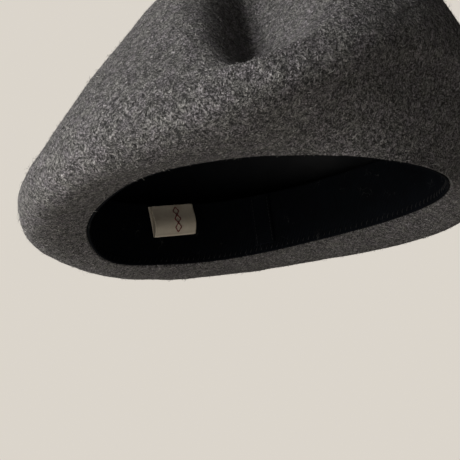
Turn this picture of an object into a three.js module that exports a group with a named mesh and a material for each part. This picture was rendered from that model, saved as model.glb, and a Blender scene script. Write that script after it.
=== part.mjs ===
// Felt beret, softly draped: a one-piece felt shell whose edge rolls under to the head opening, a small stalk,
// a two-piece satin lining, a ribbon sweatband with a covered back join, and a woven loop label that hangs
// inside from the band's top edge and can be flipped up.
// Millimetres. Origin at the centre of the head opening, +Z up through the crown, +Y towards the back of the
// head, +X to the wearer's left. Angles run round +Z from +X: 0 left of the head, 90 back, 180 right,
// 270 front.
import * as THREE from 'three';

// head opening: an oval whose rim waves gently up and down, and bulges out a little in two places
const OPENING_HALF_WIDTH = 88;
const OPENING_HALF_DEPTH = 76;
const RIM_WAVE_COS = -1;
const RIM_WAVE_SIN = 3;
const RIM_SWELLS = [
  { angle: 160, spread: 18, radius: 3.2, height: -2.4 },
  { angle: 232, spread: 16, radius: 2.6, height: 0 },
];

// one-piece felt
const FELT_THICKNESS = 3.5;
const CROWN_HEIGHT = 135;
const CROWN_CAP_RADIUS = 26;
const CROWN_CAP_DROP = 4;

// the sides of the rolled edge: radius, height of its widest line, roll, and fullness of the slope above it
const SIDES = [
  { angle: 0, radius: 0.7, height: -7, roll: 0, fullness: 4 },
  { angle: 90, radius: 4.2, height: 2.6, roll: 0, fullness: 0 },
  { angle: 135, radius: 0, height: -3.4, roll: 0, fullness: 0 },
  { angle: 180, radius: 0.6, height: -1.6, roll: -2.5, fullness: -6.8 },
  { angle: 270, radius: 0, height: 0, roll: 0, fullness: 4 },
];
const SIDE_SPREAD = 50;
const EDGE_RADIUS = 115.8;
const EDGE_HEIGHT = 9.1;
const EDGE_ROLL = 12;
const SLOPE_FULLNESS = 7;

// the tall fold at the front, where the felt stands up from the rim before it turns over
const LOBE = { angle: 318, spread: 38, radius: -7.2, height: 45.4, roll: 10 };
const LOBE_FULLNESS = { angle: 340, spread: 60, fullness: 9 };

// the V-shaped dent in the crown beside that fold. Its spreads are degrees either side of its middle line; it
// starts narrow at its lower lip, widens towards the top and leans over by the skew
const DENT = { angle: 270, spreadBefore: 9.5, spreadAfter: 19, skew: 7, narrow: 0.47, widen: 1.65 };
// where the dent starts and ends along the meridian, how much its lower lip slants per degree, and how quickly
// it falls away from the lip
const DENT_ALONG = { lowest: 0.45, from: 0.44, to: 0.915, tilt: 0.0032, start: 0.6, round: 2 };
const DENT_DEPTH = 30;
const DENT_SINK = 0.1;

// linings, inside the felt, hanging a little wider and deeper than the felt at the dent
const LINING_GAP = 1.8;
const LINING_THICKNESS = 0.8;
const LINING_SLACK = { spread: 1.15, depth: 1.05 };
const NO_SLACK = { spread: 1, depth: 1 };
// the seam between the side and crown linings and the hem at the rim, in mesh steps up the crown
const LINING_SEAM_STEP = 8;
const LINING_SEAM_GAP = 0.3;
const LINING_HEM_STEP = 1;

// mesh steps round the head, and from the rim up to the top of the crown
const AROUND = 72;
const UP = 20;

// ribbon sweatband, standing inside the rim, and the tab over its back join
const BAND_HEIGHT = 36;
const BAND_THICKNESS = 1;
const BAND_INSET = 1.3;
const TAB_WIDTH = 12;
const TAB_THICKNESS = 0.7;
const TAB_ANGLE = 90;

// loop label on the band's top edge
const LABEL_WIDTH = 26.5;
const LABEL_DROP = 18;
const LABEL_THICKNESS = 1.7;
const LABEL_LEAF = 0.6;
const LABEL_ANGLE = 131.4;
const LABEL_BELOW_BAND_TOP = 1.6;
const LABEL_WALL_GAP = 1.8;

const STALK = { height: 11, radius: 2.6 };
const THREAD_RADIUS = 0.4;
const GAP = 0.3;

const deg = THREE.MathUtils.degToRad;
const lerp = THREE.MathUtils.lerp;
const V3 = THREE.Vector3;

// 1 on the line at the centre angle, fading to 0 away from it; angles in degrees
function near(angle, centre, spread) {
  const away = THREE.MathUtils.euclideanModulo(angle - centre + 180, 360) - 180;
  return Math.exp(-((away / spread) ** 2));
}

const sideSum = (angle, key) =>
  SIDES.reduce((sum, side) => sum + side[key] * near(angle, side.angle, SIDE_SPREAD), 0);

const swellSum = (angle, key) =>
  RIM_SWELLS.reduce((sum, swell) => sum + swell[key] * near(angle, swell.angle, swell.spread), 0);

const rimRadius = (angle) =>
  1 / Math.hypot(Math.cos(deg(angle)) / OPENING_HALF_WIDTH, Math.sin(deg(angle)) / OPENING_HALF_DEPTH)
  + swellSum(angle, 'radius');

const rimHeight = (angle) =>
  RIM_WAVE_COS * Math.cos(deg(2 * angle)) + RIM_WAVE_SIN * Math.sin(deg(2 * angle)) + swellSum(angle, 'height');

// radius and height of the felt's outer face along one meridian: rim, underside, rolled edge, slope, cap
function meridian(angle) {
  const lobe = near(angle, LOBE.angle, LOBE.spread);
  const rim = rimRadius(angle);
  const rimZ = rimHeight(angle);
  const edge = EDGE_RADIUS + sideSum(angle, 'radius') + LOBE.radius * lobe;
  const edgeZ = EDGE_HEIGHT + sideSum(angle, 'height') + LOBE.height * lobe;
  const roll = EDGE_ROLL + sideSum(angle, 'roll') + LOBE.roll * lobe;
  const full = SLOPE_FULLNESS + sideSum(angle, 'fullness')
    + LOBE_FULLNESS.fullness * near(angle, LOBE_FULLNESS.angle, LOBE_FULLNESS.spread);
  const low = edgeZ - roll;
  const foot = new THREE.Vector2(edge - 0.24 * roll, edgeZ + 0.95 * roll);
  const cap = new THREE.Vector2(CROWN_CAP_RADIUS, CROWN_HEIGHT - CROWN_CAP_DROP);
  const out = new THREE.Vector2(cap.y - foot.y, foot.x - cap.x).normalize();
  const slope = [0.27, 0.54, 0.79].map((t) =>
    foot.clone().lerp(cap, t).addScaledVector(out, 4 * full * t * (1 - t)));
  return new THREE.SplineCurve([
    new THREE.Vector2(rim, rimZ),
    new THREE.Vector2(lerp(rim, edge, 0.38), lerp(rimZ, low, 0.55) - 1),
    new THREE.Vector2(lerp(rim, edge, 0.7), low + 0.05 * roll),
    new THREE.Vector2(lerp(rim, edge, 0.93), low + 0.4 * roll),
    new THREE.Vector2(edge, edgeZ),
    foot, ...slope, cap,
    new THREE.Vector2(0, CROWN_HEIGHT),
  ]);
}

// how far the dent pushes the felt in, at s along the meridian
function dentDepth(angle, s, slack) {
  const side = THREE.MathUtils.euclideanModulo(angle - DENT.angle + 180, 360) - 180;
  const tilted = DENT_ALONG.from - DENT_ALONG.tilt * THREE.MathUtils.clamp(side, -45, 45);
  const from = Math.max(DENT_ALONG.lowest, tilted);
  const t = THREE.MathUtils.clamp((s - from) / (DENT_ALONG.to - from), 0, 1);
  const middle = DENT.angle + DENT.skew * (t - 0.3);
  const away = THREE.MathUtils.euclideanModulo(angle - middle + 180, 360) - 180;
  const spread = (away > 0 ? DENT.spreadAfter : DENT.spreadBefore) * (DENT.narrow + DENT.widen * t)
    * slack.spread;
  const wave = Math.max(0, Math.sin(Math.PI * t ** DENT_ALONG.start)) ** DENT_ALONG.round;
  return DENT_DEPTH * slack.depth * Math.exp(-((away / spread) ** 2)) * wave;
}

// point on the felt's outer face; s runs from 0 at the rim to 1 at the top of the crown
function outerPoint(angle, s, slack = NO_SLACK) {
  const p = meridian(angle).getPoint(s);
  const dent = dentDepth(angle, s, slack);
  const r = Math.max(0, p.x - dent);
  return new V3(r * Math.cos(deg(angle)), r * Math.sin(deg(angle)), p.y - DENT_SINK * dent);
}

// point a given depth inside the outer face, measured straight up at the rim and square to the felt elsewhere
function skinPoint(angle, s, depth, slack = NO_SLACK) {
  if (depth === 0) return outerPoint(angle, s, slack);
  const step = 1e-3;
  const alongS = outerPoint(angle, Math.min(1, s + step), slack)
    .sub(outerPoint(angle, Math.max(0, s - step), slack));
  const around = outerPoint(angle + 0.5, s, slack).sub(outerPoint(angle - 0.5, s, slack));
  const inward = alongS.cross(around).normalize();
  const fade = THREE.MathUtils.smoothstep(s, 0, 0.12);
  inward.lerp(new V3(0, 0, 1), 1 - fade).normalize();
  return outerPoint(angle, s, slack).addScaledVector(inward, depth);
}

const ring = (count, pointAt) => Array.from({ length: count }, (_, i) => pointAt((360 * i) / count));

const skinRing = (s, depth, slack) => ring(AROUND, (angle) => skinPoint(angle, s, depth, slack));

// closed body from a list of rows of points; a row of one point is a pole. Rows close round unless open,
// and the last row joins the first when looped.
function rowsBody(rows, { looped = false, open = false } = {}) {
  const starts = [];
  const points = [];
  for (const row of rows) {
    starts.push(points.length);
    points.push(...row);
  }
  const index = [];
  const quad = (a, b, c, d) => {
    if (a !== b) index.push(a, b, c);
    if (c !== d) index.push(a, c, d);
  };
  const pairs = looped ? rows.length : rows.length - 1;
  for (let k = 0; k < pairs; k++) {
    const [lower, upper] = [rows[k], rows[(k + 1) % rows.length]];
    const [from, to] = [starts[k], starts[(k + 1) % rows.length]];
    const count = Math.max(lower.length, upper.length);
    const at = (start, row, i) => start + (row.length === 1 ? 0 : i % row.length);
    for (let i = 0; i < (open ? count - 1 : count); i++) {
      quad(at(from, lower, i), at(from, lower, i + 1), at(to, upper, i + 1), at(to, upper, i));
    }
  }
  if (open) {
    for (const end of [0, rows[0].length - 1]) {
      for (let k = 1; k + 1 < rows.length; k++) {
        const face = [starts[0] + end, starts[k] + end, starts[k + 1] + end];
        index.push(...(end === 0 ? face : face.reverse()));
      }
    }
  }
  return outwardBody(points, index);
}

// indexed geometry whose faces look outwards: turned over when its signed volume is negative
function outwardBody(points, index) {
  const [a, b, c] = [new V3(), new V3(), new V3()];
  let volume = 0;
  for (let i = 0; i < index.length; i += 3) {
    a.copy(points[index[i]]);
    b.copy(points[index[i + 1]]);
    c.copy(points[index[i + 2]]);
    volume += a.dot(b.cross(c));
  }
  if (volume < 0) index.reverse();
  const geometry = new THREE.BufferGeometry().setFromPoints(points);
  geometry.setIndex(index);
  geometry.computeVertexNormals();
  return geometry;
}

// one thread laid as a closed loop; centreAt gives the thread's centre and the two directions across it
function threadLoop(count, centreAt) {
  const sides = 5;
  const rows = Array.from({ length: sides }, (_, k) => {
    const turn = (2 * Math.PI * k) / sides;
    return ring(count, (angle) => {
      const { centre, across, up } = centreAt(angle);
      return centre.clone()
        .addScaledVector(across, THREAD_RADIUS * Math.cos(turn))
        .addScaledVector(up, THREAD_RADIUS * Math.sin(turn));
    });
  });
  return rowsBody(rows, { looped: true });
}

function feltShell() {
  const steps = Array.from({ length: UP }, (_, k) => k / UP);
  const inner = steps.map((s) => skinRing(s, FELT_THICKNESS));
  const outer = steps.map((s) => skinRing(s, 0));
  const cutEdge = ring(AROUND, (angle) => {
    const p = skinPoint(angle, 0, FELT_THICKNESS / 2);
    return p.addScaledVector(new V3(p.x, p.y, 0).normalize(), -0.7);
  });
  const top = new V3(0, 0, CROWN_HEIGHT);
  return rowsBody([
    [top.clone().setZ(CROWN_HEIGHT - FELT_THICKNESS)], ...inner.reverse(), cutEdge, ...outer, [top],
  ]);
}

function stalk() {
  const foot = CROWN_HEIGHT + GAP;
  const { height, radius } = STALK;
  const profile = [[0, 0], [radius + 1, 0], [radius, 1.6], [radius - 0.3, height * 0.6],
    [radius - 0.2, height - 1.2], [radius - 1.2, height - 0.2], [0, height]];
  const body = new THREE.LatheGeometry(profile.map(([r, z]) => new THREE.Vector2(r, z)), 20);
  body.rotateX(Math.PI / 2);
  return body.translate(0, 0, foot);
}

// the lining's two faces as rows between two steps; the seam allowance keeps the two linings apart
function liningRows(fromStep, toStep) {
  const steps = [];
  for (let k = fromStep; k <= toStep; k++) steps.push(k / UP);
  if (fromStep === LINING_SEAM_STEP) steps[0] += LINING_SEAM_GAP / UP;
  if (toStep === LINING_SEAM_STEP) steps[steps.length - 1] -= LINING_SEAM_GAP / UP;
  const faceDepth = FELT_THICKNESS + LINING_GAP;
  return [faceDepth, faceDepth + LINING_THICKNESS].map((depth) =>
    steps.map((s) => skinRing(s, depth, LINING_SLACK)));
}

function crownLining() {
  const [upper, lower] = liningRows(LINING_SEAM_STEP, UP - 1);
  const faceZ = CROWN_HEIGHT - FELT_THICKNESS - LINING_GAP;
  return rowsBody([
    [new V3(0, 0, faceZ - LINING_THICKNESS)], ...lower.reverse(), ...upper, [new V3(0, 0, faceZ)],
  ]);
}

function sideLining() {
  const [upper, lower] = liningRows(LINING_HEM_STEP, LINING_SEAM_STEP);
  return rowsBody([...lower.reverse(), ...upper], { looped: true });
}

// point beside the band: inset from the rim oval, height above the rim
function bandPoint(angle, inset, height) {
  const r = rimRadius(angle) - inset;
  return new V3(r * Math.cos(deg(angle)), r * Math.sin(deg(angle)), rimHeight(angle) + height);
}

function sweatband() {
  const heights = [0.4, BAND_HEIGHT / 2, BAND_HEIGHT];
  const outer = heights.map((h) => ring(AROUND, (angle) => bandPoint(angle, BAND_INSET, h)));
  const inner = heights.map((h) => ring(AROUND, (angle) => bandPoint(angle, BAND_INSET + BAND_THICKNESS, h)));
  return rowsBody([...outer, ...inner.reverse()], { looped: true });
}

// strip of band-shaped material between two angles
function bandPatch(angleFrom, angleTo, insetFrom, insetTo, heightFrom, heightTo, steps) {
  const corners = [[insetFrom, heightFrom], [insetTo, heightFrom], [insetTo, heightTo], [insetFrom, heightTo]];
  const rows = Array.from({ length: steps + 1 }, (_, k) => {
    const angle = lerp(angleFrom, angleTo, k / steps);
    return corners.map(([inset, height]) => bandPoint(angle, inset, height));
  });
  const [first, last] = [rows[0], rows[steps]];
  const middle = (row) => [row.reduce((sum, p) => sum.add(p), new V3()).divideScalar(row.length)];
  return rowsBody([middle(first), ...rows, middle(last)]);
}

const tabHalfAngle = THREE.MathUtils.radToDeg(TAB_WIDTH / 2 / OPENING_HALF_DEPTH);
const tabInset = BAND_INSET + BAND_THICKNESS + GAP;

function bandJoinTab() {
  return bandPatch(TAB_ANGLE - tabHalfAngle, TAB_ANGLE + tabHalfAngle, tabInset, tabInset + TAB_THICKNESS,
    5, BAND_HEIGHT - 0.6, 6);
}

// vertical line of stitches down one edge of the tab
function bandJoinStitching(side) {
  const angle = TAB_ANGLE + side * tabHalfAngle * 0.78;
  const inset = tabInset + TAB_THICKNESS + GAP;
  return bandPatch(angle - 0.3, angle + 0.3, inset, inset + 0.6, 6, BAND_HEIGHT - 1.6, 1);
}

function rimStitching() {
  return threadLoop(AROUND, (angle) => {
    const across = new V3(Math.cos(deg(angle)), Math.sin(deg(angle)), 0);
    const inset = BAND_INSET + BAND_THICKNESS + GAP + THREAD_RADIUS;
    return { centre: bandPoint(angle, inset, 2.4), across, up: new V3(0, 0, 1) };
  });
}

// thread on the lining's inner face at s along the meridian
function liningThread(s, liftExtra) {
  const lift = FELT_THICKNESS + LINING_GAP + LINING_THICKNESS + GAP + THREAD_RADIUS + liftExtra;
  return threadLoop(AROUND, (angle) => {
    const centre = skinPoint(angle, s, lift, LINING_SLACK);
    const up = skinPoint(angle, s, lift + 1, LINING_SLACK).sub(centre);
    const along = skinPoint(angle + 1, s, lift, LINING_SLACK)
      .sub(skinPoint(angle - 1, s, lift, LINING_SLACK)).normalize();
    return { centre, across: along.cross(up).normalize(), up };
  });
}

// the label's own directions: straight in from the band's wall, and along the wall
function labelFrame() {
  const a = deg(LABEL_ANGLE);
  const inward = new V3(-Math.cos(a) / OPENING_HALF_WIDTH ** 2, -Math.sin(a) / OPENING_HALF_DEPTH ** 2, 0)
    .normalize();
  const along = new V3().crossVectors(inward, new V3(0, 0, 1));
  const hinge = bandPoint(LABEL_ANGLE, BAND_INSET + BAND_THICKNESS, BAND_HEIGHT - LABEL_BELOW_BAND_TOP)
    .addScaledVector(inward, LABEL_WALL_GAP + LABEL_THICKNESS / 2);
  return { inward, along, hinge };
}

// puts a shape drawn with x straight in from the wall, y up and z along the wall onto the label's frame
function onLabelFrame(geometry) {
  const { inward, along, hinge } = labelFrame();
  const basis = new THREE.Matrix4().makeBasis(inward, new V3(0, 0, 1), along);
  return geometry.applyMatrix4(basis.setPosition(hinge));
}

function label() {
  const half = LABEL_THICKNESS / 2;
  const hollow = half - LABEL_LEAF;
  const shape = new THREE.Shape();
  shape.moveTo(-half, 0);
  shape.lineTo(-half, -LABEL_DROP + half);
  shape.absarc(0, -LABEL_DROP + half, half, Math.PI, 2 * Math.PI, false);
  shape.lineTo(half, 0);
  shape.lineTo(hollow, 0);
  shape.lineTo(hollow, -LABEL_DROP + half);
  shape.absarc(0, -LABEL_DROP + half, hollow, 0, Math.PI, true);
  shape.lineTo(-hollow, 0);
  shape.closePath();
  const body = new THREE.ExtrudeGeometry(shape, { depth: LABEL_WIDTH, bevelEnabled: false, curveSegments: 8 });
  return onLabelFrame(body.translate(0, 0, -LABEL_WIDTH / 2));
}

// row of stitches through the band's top edge, just above the label's top
function labelStitching() {
  const body = new THREE.CylinderGeometry(0.35, 0.35, LABEL_WIDTH - 2, 8, 1);
  body.rotateX(Math.PI / 2);
  return onLabelFrame(body.translate(-0.3, 1.6, 0));
}

const LOOKS = {
  felt: { color: 0x4a4b4e, roughness: 0.95, metalness: 0 },
  lining: { color: 0x0d0d0f, roughness: 0.45, metalness: 0 },
  ribbon: { color: 0x0a0a0b, roughness: 0.7, metalness: 0 },
  label: { color: 0xd9cfc0, roughness: 0.8, metalness: 0 },
  thread: { color: 0x17171a, roughness: 0.6, metalness: 0 },
  labelThread: { color: 0xb9ad9b, roughness: 0.6, metalness: 0 },
};

const beret = new THREE.Group();
beret.name = 'beret';

function add(name, geometry, look) {
  const mesh = new THREE.Mesh(geometry, new THREE.MeshStandardMaterial(LOOKS[look]));
  mesh.name = name;
  beret.add(mesh);
}

add('felt_shell', feltShell(), 'felt');
add('stalk', stalk(), 'felt');
add('crown_lining', crownLining(), 'lining');
add('side_lining', sideLining(), 'lining');
add('sweatband', sweatband(), 'ribbon');
add('band_join_tab', bandJoinTab(), 'ribbon');
add('label', label(), 'label');
add('rim_stitching', rimStitching(), 'thread');
add('lining_seam_stitching', liningThread(LINING_SEAM_STEP / UP, 0.3), 'thread');
add('lining_hem_stitching', liningThread((LINING_HEM_STEP + 0.5) / UP, 0), 'thread');
add('band_join_stitching_left', bandJoinStitching(-1), 'thread');
add('band_join_stitching_right', bandJoinStitching(1), 'thread');
add('label_stitching', labelStitching(), 'labelThread');

export default beret;
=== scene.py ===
"""Felt beret, softly draped: felt shell with its fuzz, stalk, linings, ribbon band, stitches and label."""
import math

import bpy
import numpy as np
from bpy.props import FloatProperty, FloatVectorProperty, IntProperty, PointerProperty
from mathutils import Matrix, Vector


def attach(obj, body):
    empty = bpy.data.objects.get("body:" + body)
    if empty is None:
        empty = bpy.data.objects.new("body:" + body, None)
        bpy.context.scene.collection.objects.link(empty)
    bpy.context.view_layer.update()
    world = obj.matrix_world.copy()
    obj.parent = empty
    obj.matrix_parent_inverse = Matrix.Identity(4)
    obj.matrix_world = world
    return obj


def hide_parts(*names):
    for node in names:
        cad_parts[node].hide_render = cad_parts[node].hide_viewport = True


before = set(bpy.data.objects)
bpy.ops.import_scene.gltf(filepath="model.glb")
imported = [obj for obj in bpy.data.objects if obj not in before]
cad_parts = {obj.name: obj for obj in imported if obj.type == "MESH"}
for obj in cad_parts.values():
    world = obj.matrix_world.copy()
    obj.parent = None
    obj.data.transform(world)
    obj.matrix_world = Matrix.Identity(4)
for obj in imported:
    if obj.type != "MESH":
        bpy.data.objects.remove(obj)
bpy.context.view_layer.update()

bl_info = {
    "name": "Felt Beret",
    "version": (1, 0, 0),
    "blender": (4, 5, 0),
    "location": "View3D > Sidebar > Beret",
    "description": "Builds a lined, draped felt beret on its CAD frame",
    "category": "Add Mesh",
}

MM = 0.001

# ---------------------------------------------------------------- sizes shared with the CAD, in millimetres

OPENING_HALF = (88.0, 76.0)
RIM_WAVE = (-1.0, 3.0)
RIM_SWELLS = (  # angle, spread, radius, height
    (160.0, 18.0, 3.2, -2.4),
    (232.0, 16.0, 2.6, 0.0),
)
SIDES = (  # angle, edge radius, edge height, slope fullness, roll
    (0.0, 0.7, -7.0, 4.0, 0.0),
    (90.0, 4.2, 2.6, 0.0, 0.0),
    (135.0, 0.0, -3.4, 0.0, 0.0),
    (180.0, 0.6, -1.6, -6.8, -2.5),
    (270.0, 0.0, 0.0, 4.0, 0.0),
)
SIDE_SPREAD = 50.0
EDGE_RADIUS, EDGE_HEIGHT, EDGE_ROLL = 115.8, 9.1, 12.0
SLOPE_FULLNESS = 7.0
CAP_RADIUS, CAP_DROP = 26.0, 4.0
LOBE_ANGLE, LOBE_SPREAD, LOBE_RADIUS, LOBE_ROLL = 318.0, 38.0, -7.2, 10.0
LOBE_FULL_ANGLE, LOBE_FULL_SPREAD, LOBE_FULL = 340.0, 60.0, 9.0
DENT_ANGLE, DENT_BEFORE, DENT_AFTER, DENT_SKEW = 270.0, 9.5, 19.0, 7.0
DENT_NARROW, DENT_WIDEN = 0.47, 1.65
DENT_LOWEST, DENT_FROM, DENT_TO, DENT_TILT = 0.45, 0.44, 0.915, 0.0032
DENT_START, DENT_ROUND, DENT_SINK = 0.6, 2.0, 0.1
LINING_DEPTH, SATIN_THICKNESS = 5.3, 0.5
NO_SLACK, LINING_SLACK = (1.0, 1.0), (1.15, 1.05)  # how much wider and deeper a layer hangs at the dent
SEAM_AT, HEM_AT = 0.40, 0.05
BAND_INSET = 1.3
TAB_ANGLE = 90.0
LABEL_ANGLE = 131.4
LABEL_BELOW = 1.6
LABEL_WALL_GAP = 1.8


def length_mm(name, about, default, low, high):
    """A setting for a length in millimetres."""
    return FloatProperty(name=name, description=f"{about}, in millimetres", default=default,
                         min=low, max=high)


def paint(name, about, default):
    """A setting for a colour."""
    return FloatVectorProperty(name=name, description=about, subtype="COLOR", size=3, default=default)


class BERET_PG_felt(bpy.types.PropertyGroup):
    """Sizes and colours of the felt."""
    thickness: length_mm("Felt thickness", "Thickness of the felt", 3.5, 1.5, 6.0)
    crown_height: length_mm("Crown height", "Top of the crown above the rim", 135.0, 90.0, 160.0)
    fold_height: length_mm("Fold height", "How far the tall front fold lifts the edge", 45.4, 0.0, 60.0)
    dent_depth: length_mm("Dent depth", "Depth of the crown's dent", 30.0, 0.0, 45.0)
    dark: paint("Dark wool", "Colour of the felt's dark fibres", (0.012, 0.012, 0.0125))
    light: paint("Light wool", "Colour of the felt's pale fibres", (0.46, 0.45, 0.43))
    fuzz_length: length_mm("Fuzz length", "Mean length of a loose fibre", 1.9, 0.5, 6.0)
    fuzz_count: IntProperty(name="Fuzz count", description="Loose fibres in each of the fuzz pieces",
                            default=15000, min=100, max=19000)


class BERET_PG_inside(bpy.types.PropertyGroup):
    """Sizes and colours of the lining, the band and the label."""
    band_height: length_mm("Band height", "Height of the ribbon sweatband", 36.0, 20.0, 45.0)
    label_width: length_mm("Label width", "Width of the loop label", 26.5, 10.0, 45.0)
    label_drop: length_mm("Label drop", "Hanging length of the loop label", 18.0, 8.0, 30.0)
    satin: paint("Satin", "Colour of the lining", (0.0012, 0.0021, 0.0036))
    ribbon: paint("Ribbon", "Colour of the sweatband", (0.0011, 0.0018, 0.0031))
    cream: paint("Label ground", "Colour of the label's ground weave", (0.66, 0.60, 0.50))
    motif: paint("Label motif", "Colour of the label's woven motif", (0.17, 0.010, 0.016))


class BERET_PG_stage(bpy.types.PropertyGroup):
    """Floor, light and camera."""
    floor_height: FloatProperty(name="Floor height", description="Height of the floor in the beret's frame",
                                default=-0.42, unit="LENGTH")
    floor: paint("Floor", "Colour of the floor", (0.68, 0.65, 0.60))
    wall: paint("Backdrop", "Colour seen behind the beret", (0.71, 0.665, 0.60))
    key_power: FloatProperty(name="Key light", description="Power of the large soft light, in watts",
                             default=18.5, min=0.0)
    fill: FloatProperty(name="Fill", description="Strength of the light from all round",
                        default=0.095, min=0.0)


# ---------------------------------------------------------------- curves and noise

def near(angle, centre, spread):
    """1 on the line at centre degrees, falling off as exp(-(distance / spread)^2); angle in degrees."""
    away = (angle - centre + 180.0) % 360.0 - 180.0
    return np.exp(-((away / spread) ** 2))


def side_sum(angle, column):
    """Sum of one column of SIDES, each row weighted by how near its side is."""
    return sum(side[column] * near(angle, side[0], SIDE_SPREAD) for side in SIDES)


def rim_radius(angle):
    """Radius of the opening at an angle in degrees: an ellipse with two soft swells."""
    a = np.radians(angle)
    swell = sum(radius * near(angle, centre, spread) for centre, spread, radius, _ in RIM_SWELLS)
    return 1.0 / np.hypot(np.cos(a) / OPENING_HALF[0], np.sin(a) / OPENING_HALF[1]) + swell


def rim_height(angle):
    """Height of the rim: one cosine and one sine wave of half a turn, with the swells' own drop."""
    a = np.radians(2.0 * angle)
    swell = sum(height * near(angle, centre, spread) for centre, spread, _, height in RIM_SWELLS)
    return RIM_WAVE[0] * np.cos(a) + RIM_WAVE[1] * np.sin(a) + swell


def spline(points, s):
    """Uniform Catmull-Rom curve through points[k] at s = k / (count - 1), end points doubled."""
    count = len(points)
    u = s * (count - 1)
    i = np.clip(np.floor(u).astype(int), 0, count - 2)
    w = u - i

    def pick(k):
        return np.take_along_axis(points, np.clip(k, 0, count - 1)[None], axis=0)[0]

    p0, p1, p2, p3 = pick(i - 1), pick(i), pick(i + 1), pick(i + 2)
    v0, v1 = (p2 - p0) / 2, (p3 - p1) / 2
    return (2 * p1 - 2 * p2 + v0 + v1) * w**3 + (3 * p2 - 3 * p1 - 2 * v0 - v1) * w**2 + v0 * w + p1


def lattice_noise(points, size, seed):
    """Smooth noise from -1 to 1: hashed values on a cubic lattice of the given size, blended by
    smoothsteps."""
    q = points / size + 17.0 + seed * 7.31
    base = np.floor(q).astype(np.int64)
    f = q - base
    f = f * f * (3 - 2 * f)
    total = np.zeros(points.shape[:-1])
    for corner in range(8):
        step = np.array([corner & 1, corner >> 1 & 1, corner >> 2 & 1])
        k = base + step
        h = (k[..., 0] * 73856093) ^ (k[..., 1] * 19349663) ^ (k[..., 2] * 83492791) ^ (seed * 2654435761)
        h = (h ^ (h >> 13)) * 1274126177
        value = ((h ^ (h >> 16)) & 0xFFFF) / 32767.5 - 1.0
        weight = np.prod(np.where(step == 1, f, 1 - f), axis=-1)
        total += value * weight
    return total


# ---------------------------------------------------------------- the felt's surface

def outer_face(angle, s, felt, slack=NO_SLACK):
    """The felt's outer face in millimetres: each meridian is a spline from the rim (s = 0) along the
    underside, round the rolled edge and up the slope to the top (s = 1), less the dent. The dent is a bell
    round its middle line times a rounded sine along it, and slack widens and deepens it."""
    lobe = near(angle, LOBE_ANGLE, LOBE_SPREAD)
    rim, rim_z = rim_radius(angle), rim_height(angle)
    edge = EDGE_RADIUS + side_sum(angle, 1) + LOBE_RADIUS * lobe
    edge_z = EDGE_HEIGHT + side_sum(angle, 2) + felt.fold_height * lobe
    roll = EDGE_ROLL + side_sum(angle, 4) + LOBE_ROLL * lobe
    full = SLOPE_FULLNESS + side_sum(angle, 3) + LOBE_FULL * near(angle, LOBE_FULL_ANGLE, LOBE_FULL_SPREAD)
    low = edge_z - roll
    foot_r, foot_z = edge - 0.24 * roll, edge_z + 0.95 * roll
    cap_z = felt.crown_height - CAP_DROP
    length = np.hypot(foot_r - CAP_RADIUS, cap_z - foot_z)
    out_r, out_z = (cap_z - foot_z) / length, (foot_r - CAP_RADIUS) / length
    radii = [rim + share * (edge - rim) for share in (0.0, 0.38, 0.7, 0.93)] + [edge, foot_r]
    heights = [rim_z, rim_z + 0.55 * (low - rim_z) - 1, low + 0.05 * roll, low + 0.4 * roll, edge_z, foot_z]
    for t in (0.27, 0.54, 0.79):
        bulge = 4 * full * t * (1 - t)
        radii.append(foot_r + (CAP_RADIUS - foot_r) * t + out_r * bulge)
        heights.append(foot_z + (cap_z - foot_z) * t + out_z * bulge)
    nought = np.zeros_like(angle + s)
    radii += [nought + CAP_RADIUS, nought]
    heights += [nought + cap_z, nought + felt.crown_height]
    r = spline(np.stack([nought + k for k in radii]), s)
    z = spline(np.stack([nought + k for k in heights]), s)
    aside = np.clip((angle - DENT_ANGLE + 180) % 360 - 180, -45, 45)
    start = np.maximum(DENT_LOWEST, DENT_FROM - DENT_TILT * aside)
    t = np.clip((s - start) / (DENT_TO - start), 0, 1)
    away = (angle - DENT_ANGLE - DENT_SKEW * (t - 0.3) + 180) % 360 - 180
    spread = np.where(away > 0, DENT_AFTER, DENT_BEFORE) * (DENT_NARROW + DENT_WIDEN * t) * slack[0]
    wave = np.maximum(0, np.sin(np.pi * t**DENT_START)) ** DENT_ROUND
    dent = felt.dent_depth * slack[1] * np.exp(-((away / spread) ** 2)) * wave
    r = np.maximum(0, r - dent)
    a = np.radians(angle)
    return np.stack([r * np.cos(a), r * np.sin(a), z - DENT_SINK * dent], axis=-1)


def unit(v):
    """Vectors scaled to length 1."""
    return v / np.maximum(np.linalg.norm(v, axis=-1, keepdims=True), 1e-12)


def inward(angle, s, felt, slack=NO_SLACK):
    """Unit direction into the hat: square to the outer face, turning to straight up at the rim."""
    step = 1e-3
    along = outer_face(angle, np.minimum(1, s + step), felt, slack)
    along = along - outer_face(angle, np.maximum(0, s - step), felt, slack)
    around = outer_face(angle + 0.5, s, felt, slack) - outer_face(angle - 0.5, s, felt, slack)
    n = unit(np.cross(along, around))
    top = (s > 0.998)[..., None]
    n = np.where(top, np.array([0.0, 0.0, -1.0]), n)
    fade = np.clip(s / 0.12, 0, 1)
    fade = (fade * fade * (3 - 2 * fade))[..., None]
    return unit(n * fade + np.array([0.0, 0.0, 1.0]) * (1 - fade))


def skin(angle, s, depth, felt, slack=NO_SLACK):
    """Point a given depth in millimetres inside the felt's outer face."""
    return outer_face(angle, s, felt, slack) + inward(angle, s, felt, slack) * np.asarray(depth)[..., None]


# ---------------------------------------------------------------- meshes

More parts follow.
